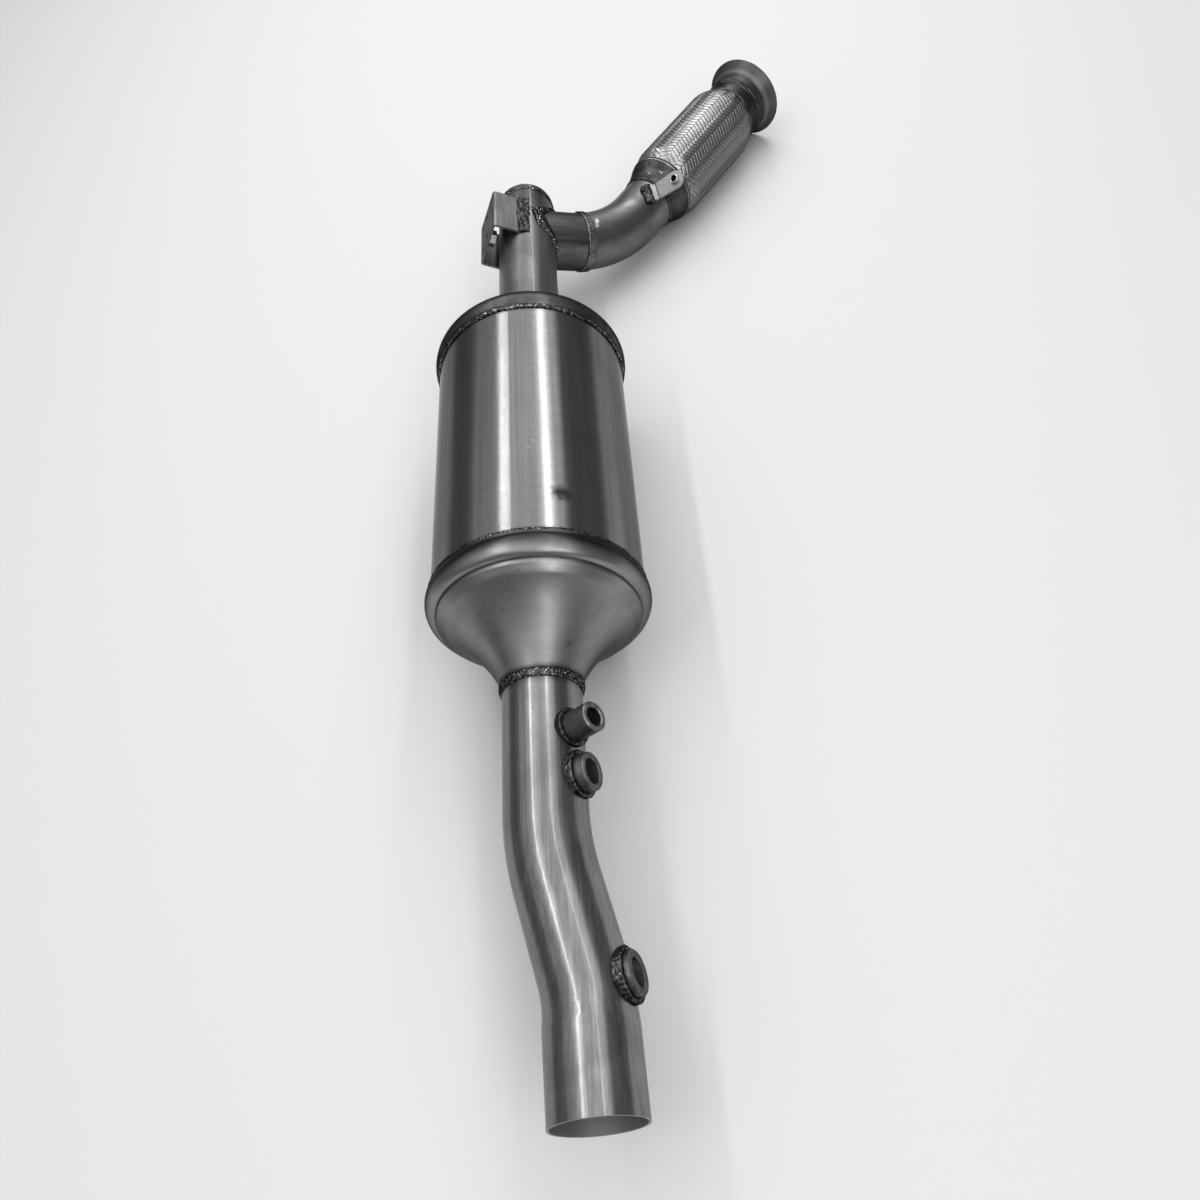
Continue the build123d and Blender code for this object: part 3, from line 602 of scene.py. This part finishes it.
# %% [markdown]
# ## Finishes of the flexible section
#
# Collar, ring and flare are turned and pressed pieces, dark from the heat. The collar keeps a rubbed ring at
# its braid end, a dark spot with a light rim and a short scratch. The braid's CAD node is painted nearly
# black, as painted shade that shows between the woven wires, and bellows and liner inside it are bright foil
# and strip.

# %% Collar, ring, flare and what the braid covers
def flex_mark(radius, station, degrees, size, level):
    """A mark round the flexible section, all lengths in millimetres."""
    return (round_axis(elbow_end, flex_way, radius * mm, station * mm, degrees), size * mm, level)


all_ways = (60, 60, 60)
round_flex = (1200, 30, 30)
collar_marks = (
    flex_mark(29.8, 32.8, 88.5, size=3.6, level=0.40),
    flex_mark(29.8, 32.8, 88.5, size=1.8, level=0.03),
    flex_mark(31.6, 38.6, 70.7, size=1.6, level=0.90),
    flex_mark(32.0, 38.2, 66.6, size=1.6, level=0.90),
)
collar_steel = steel(
    "collar_steel", level=0.085, roughness=0.42, stretch=(160, 60, 60), grain_depth=0.25, patch_scale=90,
    patch_level=0.55, site=flex_site, marks=collar_marks,
    bands=[(x_axis, 48.5 * mm, 0.8 * mm, 0.35), (x_axis, 51.8 * mm, 0.9 * mm, 0.40)],
)
ring_steel = steel("front_ring_steel", level=0.07, roughness=0.36, stretch=round_flex, grain_depth=0.1,
                   site=flex_site, bump=0.05)
# The flare's light band near its foot is a painted highlight along the crease where the cone meets the tube.
flare_steel = steel("flare_steel", level=0.105, roughness=0.48, stretch=all_ways, grain_depth=0.10,
                    site=flex_site, bump=0.03, bands=[(x_axis, 219.5 * mm, 2.6 * mm, 0.17)])
# The braid's CAD node is painted nearly black as the shade between the wires.
braid_gap_shade = steel("painted_shade_under_braid", level=0.05, roughness=0.5, stretch=round_flex, site=flex_site)
foil_steel = steel("bellows_foil", level=0.5, roughness=0.25, stretch=round_flex, grain_depth=0.1,
                   site=flex_site)
liner_steel = steel("liner_strip", level=0.35, roughness=0.35, stretch=round_flex, grain_depth=0.15,
                    site=flex_site)
dress(collar_steel, "flex_rear_collar")
dress(ring_steel, "flex_front_ring")
dress(flare_steel, "inlet_flare")
dress(braid_gap_shade, "flex_braid")
dress(foil_steel, "flex_bellows")
dress(liner_steel, "flex_liner")

# %% [markdown]
# ## Finishes of the small parts
#
# The sensor bosses are turned and dull, the bracket is folded satin sheet with brighter nuts in it. The clip
# tab is plated and pale, with a dark line of painted shade in the scored crease where it was folded: the
# line is a band at the fold, so the tab needs a site that lies in its fold, with X along the strip.

# %% Bosses, bracket and nuts
even = (300, 300, 300)
boss_steel = steel("boss_steel", level=0.18, roughness=0.44, stretch=even, patch_scale=60)
bracket_steel = steel("bracket_sheet", level=0.24, roughness=0.42, stretch=(200, 30, 200), grain_depth=0.2)
nut_steel = steel("plated_nut", level=0.5, roughness=0.25, stretch=even, grain_depth=0.1)
boss_names = ("temperature_sensor", "front_oxygen_sensor", "rear_oxygen_sensor")
dress(boss_steel, *[name + "_boss" for name in boss_names])
dress(bracket_steel, "header_bracket")
dress(nut_steel, "bracket_nuts")

# %% Clip tab and its bush
fold_station = 14.7 * mm
fold_reach = 32.65 * mm
fold_angle = math.radians(50.2)
tab_swing = math.radians(59.9)
tab_rise = math.radians(27.3)
tab_roll = math.radians(33.4)
fold_offset = Vector((fold_station, -fold_reach * math.cos(fold_angle), fold_reach * math.sin(fold_angle)))
tab_turn = Matrix.Rotation(heading - tab_swing, 3, "Z") @ Matrix.Rotation(-tab_rise, 3, "Y")
tab_turn = tab_turn @ Matrix.Rotation(tab_roll, 3, "X")
tab_site = (elbow_end + flex_site[1] @ fold_offset, tab_turn)
# The dark band at the fold is painted shade in the crease.
tab_steel = steel("plated_tab", level=0.42, roughness=0.55, stretch=even, grain_depth=0.12,
                  patch_level=0.85, site=tab_site, bands=[(x_axis, 0.8 * mm, 0.9 * mm, 0.03)])
hole = mounts["clip_tab_hole"]
hole_turn = x_way.rotation_difference(Vector(hole["axis"])).to_matrix()
# The bush's pale colour is a painted highlight on its raised ring, and the dark lining of its hole is
# painted shade.
bush_highlight_and_hole_shade = steel("bush_painted_highlight_and_shade", level=0.70, roughness=0.30, stretch=even, grain_depth=0.05)
line_inside(bush_highlight_and_hole_shade, (hole["pos_m"], hole_turn), radius=3.1 * mm, depth=10 * mm, level=0.02,
            roughness=0.60)
dress(tab_steel, "clip_tab")
dress(bush_highlight_and_hole_shade, "tab_bush")

# %% [markdown]
# ## What is inside
#
# The ceramic filter is cordierite, pale and dull, and the mat round it is pressed white fibre. Both are
# hidden in the canister, but whoever opens the model should find them looking like themselves.

# %% Ceramic and mat
ceramic = steel("filter_ceramic", level=0.42, roughness=0.85, stretch=even, grain_depth=0.12, metallic=0.0)
mat_fibre = steel("mat_fibre", level=0.75, roughness=0.95, stretch=(500, 60, 500), grain_depth=0.1,
                  metallic=0.0, bump=0.6)
dress(ceramic, "ceramic_filter")
dress(mat_fibre, "support_mat")

# %% [markdown]
# ## Weld beads
#
# A real bead is a row of overlapping drops, rough and spattered. The construction model has plain rings in
# the right places, so each bead starts as a copy of its ring: the copy's loose triangles are merged and
# remeshed into small even squares, a vertex group holds the ripple, and two Displace modifiers raise the
# ripple and the lumps. The weld metals are dark and patchy. Most have bright specks of spatter that are
# partly painted glints, the butt weld of the elbow is cleaner, and the beads of the flexible section, the
# bracket and the tab have none.

# %% Weld metals
# The bright specks below are spatter and in part painted glints.
weld_steel = steel("weld_metal", level=0.075, roughness=0.30, stretch=even, grain_depth=0.6,
                   patch_scale=200, patch_level=0.35, dots=(800, 0.60, 0.85), bump=0.7)
boss_weld = steel("boss_weld_metal", level=0.10, roughness=0.30, stretch=even, grain_depth=0.6,
                  patch_scale=200, patch_level=0.4, dots=(700, 0.66, 0.60), bump=0.8)
calm_weld = steel("calm_weld_metal", level=0.095, roughness=0.36, stretch=even, grain_depth=0.6,
                  patch_scale=200, patch_level=0.35, bump=0.7)
butt_steel = steel("butt_weld_metal", level=0.16, roughness=0.32, stretch=even, grain_depth=0.4,
                   patch_scale=120, patch_level=0.6, dots=(700, 0.64, 0.50), bump=0.4)

# %% Tools for a mesh
def apply_modifier(obj, name, kind, **settings):
    """Adds a modifier with these settings and applies it."""
    modifier = obj.modifiers.new(name, kind)
    for key, value in settings.items():
        setattr(modifier, key, value)
    bpy.ops.object.modifier_apply(modifier=modifier.name)


def even_copy(node, voxel):
    """A copy of a CAD weld as one closed skin of small even squares."""
    bpy.ops.object.select_all(action="DESELECT")
    copy = nodes[node].copy()
    copy.data = nodes[node].data.copy()
    copy.parent = None
    for key in list(copy.keys()):
        del copy[key]
    copy.name = node + "_bead"
    bpy.context.scene.collection.objects.link(copy)
    bpy.context.view_layer.objects.active = copy
    copy.select_set(True)
    bpy.ops.object.mode_set(mode="EDIT")
    bpy.ops.mesh.select_all(action="SELECT")
    bpy.ops.mesh.remove_doubles(threshold=0.01 * mm)
    bpy.ops.object.mode_set(mode="OBJECT")
    apply_modifier(copy, "even_squares", "REMESH", mode="VOXEL", voxel_size=voxel)
    return copy


# %% [markdown]
# The ripple is a formula of the distance along the seam, which keeps the drops evenly spaced on any ring.
# Fine cloud noise then breaks the drops up. The welds of the bracket and the tab are box-shaped in the
# construction model, so they are smoothed and pushed about by a coarser noise first, until their outline
# is as uneven as a bead laid by hand.

# %% Bead maker
lumps = bpy.data.textures.new("weld_lumps", "CLOUDS")
lumps.noise_scale = 1.8 * mm
lumps.noise_depth = 3
runs = bpy.data.textures.new("weld_runs", "CLOUDS")
runs.noise_scale = 4.5 * mm
runs.noise_depth = 1
lump_share = 2.5  # of the ripple's height


def rough_bead(node, seam, pitch=2.4 * mm, height=0.35 * mm, voxel=0.6 * mm, material=weld_steel, waves=0.0):
    """A rippled bead in the place of a CAD weld. seam gives each point's distance along the seam."""
    bead = even_copy(node, voxel)
    if waves:
        apply_modifier(bead, "rounded", "SMOOTH", iterations=20)
        apply_modifier(bead, "runs", "DISPLACE", texture=runs, texture_coords="LOCAL", strength=waves,
                       mid_level=0.45)
    group = bead.vertex_groups.new(name="ripple")
    for vertex in bead.data.vertices:
        phase = seam(vertex.co) / pitch
        group.add([vertex.index], abs(math.sin(math.pi * phase)), "REPLACE")
    apply_modifier(bead, "ripple", "DISPLACE", vertex_group="ripple", strength=height, mid_level=0.3)
    apply_modifier(bead, "lumps", "DISPLACE", texture=lumps, texture_coords="LOCAL",
                   strength=height * lump_share, mid_level=0.5)
    bpy.ops.object.shade_smooth()
    bead.data.materials.clear()
    bead.data.materials.append(material)
    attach(bead, "root")
    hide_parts(node)
    print(node, "faces", len(bead.data.polygons))


def ring_seam(centre, axis, radius):
    """Distance round a ring of this radius."""
    axis = Vector(axis).normalized()
    side = axis.orthogonal().normalized()
    other = axis.cross(side)

    def along(point):
        offset = point - Vector(centre)
        return math.atan2(offset.dot(other), offset.dot(side)) * radius

    return along


# %% Beads round the canister and the pipes
canister_seam = ring_seam(middle, canister_way, radius=78.5 * mm)
pipe_seam = ring_seam(middle, canister_way, radius=28.5 * mm)
flex_seam = ring_seam(elbow_end, flex_way, radius=30 * mm)
for node in ("outlet_cone_weld", "inlet_cap_weld"):
    rough_bead(node, canister_seam, voxel=0.7 * mm)
for node in ("outlet_neck_weld", "header_weld", "header_cap_weld"):
    rough_bead(node, pipe_seam)
for node in ("flex_rear_weld", "inlet_flare_weld"):
    rough_bead(node, flex_seam, material=calm_weld)
elbow_way = Vector((0.80, 0.50, -0.33))
elbow_middle = sum(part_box("elbow_weld"), Vector()) / 2
elbow_seam = ring_seam(elbow_middle, elbow_way, radius=28 * mm)
rough_bead("elbow_weld", elbow_seam, height=0.3 * mm, material=butt_steel)
branch_middle = sum(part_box("branch_weld"), Vector()) / 2
branch_seam_way = Vector((0.86, 0.25, -0.44))
rough_bead("branch_weld", ring_seam(branch_middle, branch_seam_way, radius=29 * mm))

# %% Beads of the bosses, the bracket and the tab
for name in boss_names:
    port = mounts[name + "_port"]
    boss_seam = ring_seam(port["pos_m"], port["axis"], radius=13 * mm)
    rough_bead(name + "_weld", boss_seam, voxel=0.5 * mm, material=boss_weld)
rough_bead("bracket_welds", lambda point: point.y, height=0.6 * mm, material=calm_weld, waves=4.5 * mm)
rough_bead("tab_weld", lambda point: point.x + point.z, height=0.6 * mm, voxel=0.5 * mm,
           material=calm_weld, waves=2.5 * mm)

# %% [markdown]
# ## The wire braid
#
# The braid has 24 flat bundles of wire wound each way. Each bundle passes over two and under two, which
# shows as columns of short parallel bars, tilted one way in one column and the other way in the next.
# The easy way to weave it is flat: one bar of five wires is modelled from a grid, arrays repeat it into a
# mat, and at the end the mat is rolled up into the sleeve.

# %% Braid sizes
columns = 24
row_pitch = 4.81 * mm
braid_r = 38.2 * mm
overlap = 0.5 * mm
bar_share = 0.88  # of the room that a row gives
column_width = 2 * math.pi * braid_r / columns
bar_tilt = math.atan2(row_pitch, column_width)
bar_length = column_width / math.cos(bar_tilt) + overlap
bar_width = row_pitch * math.cos(bar_tilt) * bar_share
wires = 5
wire_step = bar_width / (2 * wires)
weave_start = 52.5 * mm
weave_end = 187.0 * mm
print("tilt of a bar", round(math.degrees(bar_tilt), 1), "degrees, length", round(bar_length / mm, 1), "mm")

# %% [markdown]
# One bar is a grid with two faces for each wire. Every second line of its vertices is pressed down a
# little, which leaves five ridges, and its sides and ends are pressed down further, so that each bar
# dips under its neighbours.

# %% One bar of five wires
bpy.ops.object.select_all(action="DESELECT")
bpy.ops.mesh.primitive_grid_add(x_subdivisions=8, y_subdivisions=2 * wires, size=1)
bar = bpy.context.object
bar.name = "braid_wires"
bpy.ops.object.mode_set(mode="EDIT")
bpy.ops.transform.resize(value=(bar_length, bar_width, 1))
bpy.ops.object.mode_set(mode="OBJECT")


def press_down(obj, chosen, depth):
    """Selects the vertices that chosen picks and moves them down."""
    bpy.ops.object.mode_set(mode="EDIT")
    bpy.ops.mesh.select_all(action="DESELECT")
    bpy.ops.object.mode_set(mode="OBJECT")
    for vertex in obj.data.vertices:
        vertex.select = chosen(vertex.co)
    bpy.ops.object.mode_set(mode="EDIT")
    bpy.ops.transform.translate(value=(0, 0, -depth))
    bpy.ops.object.mode_set(mode="OBJECT")


rim_share = 0.45  # of the bar's length and width, from its middle
groove_depth = 0.012 * mm
side_drop = 0.28 * mm
end_drop = 0.30 * mm
press_down(bar, lambda co: round((co.y + bar_width / 2) / wire_step) % 2 == 0, groove_depth)
press_down(bar, lambda co: abs(co.y) > bar_width * rim_share, side_drop)
press_down(bar, lambda co: abs(co.x) > bar_length * rim_share, end_drop)
print("faces in one bar", len(bar.data.polygons))

# %% [markdown]
# Columns come in pairs, tilted left and right, so two bars are turned into place, and each gets an array
# along its column and another one across, two columns at a step.

# %% The flat mat
def array(obj, count, offset):
    """Repeats a mesh along a line."""
    apply_modifier(obj, "repeat", "ARRAY", count=count, use_relative_offset=False, use_constant_offset=True,
                   constant_offset_displace=offset)


rows = int((weave_end - weave_start) / row_pitch) + 2
other_bar = bar.copy()
other_bar.data = bar.data.copy()
bpy.context.scene.collection.objects.link(other_bar)
for piece, tilt, along, column in ((bar, bar_tilt, 0.25, 0.5), (other_bar, -bar_tilt, -0.25, 1.5)):
    bpy.ops.object.select_all(action="DESELECT")
    piece.select_set(True)
    bpy.context.view_layer.objects.active = piece
    shift = Matrix.Translation((column * column_width, along * row_pitch, 0))
    piece.data.transform(shift @ Matrix.Rotation(tilt, 4, "Z"))
    array(piece, rows, (0, row_pitch, 0))
    array(piece, columns // 2, (2 * column_width, 0, 0))
bar.select_set(True)
bpy.context.view_layer.objects.active = bar
bpy.ops.object.join()
print("faces in the mat", len(bar.data.polygons))

# %% [markdown]
# Rolling up is a formula: the distance across the mat becomes an angle, the distance along it a station on
# the flexible section's axis. The sleeve is narrower at both ends, where collar and ring grip it, and
# what is left over beyond them is cut off with Bisect.

# %% Roll the mat up
rear_grip_r = 33.5 * mm
front_grip_r = 31.2 * mm
rear_rise = 13 * mm
front_fall = 21 * mm
lay_height = 0.35 * mm


def swell_to(radius, share):
    """Radius of the braid at this share of the way from a grip up to the full sleeve."""
    return radius + (braid_r - radius) * math.sin(min(max(share, 0), 1) * math.pi / 2)


def sleeve_radius(station):
    """Radius of the braid: it rises from the rear collar, runs straight and falls to the front ring."""
    rear = swell_to(rear_grip_r, (station - weave_start) / rear_rise)
    front = swell_to(front_grip_r, (weave_end - station) / front_fall)
    return min(rear, front)


for vertex in bar.data.vertices:
    station = weave_start - 0.5 * row_pitch + vertex.co.y
    radius = sleeve_radius(station) + lay_height + vertex.co.z
    vertex.co = round_axis(elbow_end, flex_way, radius, station, math.degrees(vertex.co.x / braid_r))
rear_cut = elbow_end + flex_way * (weave_start - 1.5 * mm)
front_cut = elbow_end + flex_way * (weave_end + 1.0 * mm)
bpy.ops.object.mode_set(mode="EDIT")
bpy.ops.mesh.select_all(action="SELECT")
bpy.ops.mesh.bisect(plane_co=rear_cut, plane_no=flex_way, clear_inner=True)
bpy.ops.mesh.select_all(action="SELECT")
bpy.ops.mesh.bisect(plane_co=front_cut, plane_no=flex_way, clear_outer=True)
bpy.ops.object.mode_set(mode="OBJECT")
bpy.ops.object.shade_smooth()
print("faces in the braid", len(bar.data.polygons))

# %% [markdown]
# The wires are bright and smooth, with the least of grain. They are darker along the sleeve's outer side,
# the one that faces +X, which is painted shade.

# %% Finish of the wires
# Painted shade along the sleeve's outer side.
painted_shade_side = -40 * mm
wire_steel = steel("braid_wire", level=0.35, roughness=0.31, stretch=(900, 60, 60), grain_depth=0.06,
                   bump=0.02, mottle=0.02, site=flex_site, bands=[(y_axis, painted_shade_side, 16 * mm, 0.24)])
bar.data.materials.clear()
bar.data.materials.append(wire_steel)
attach(bar, "root")
print("finish of the braid:", wire_steel.name)
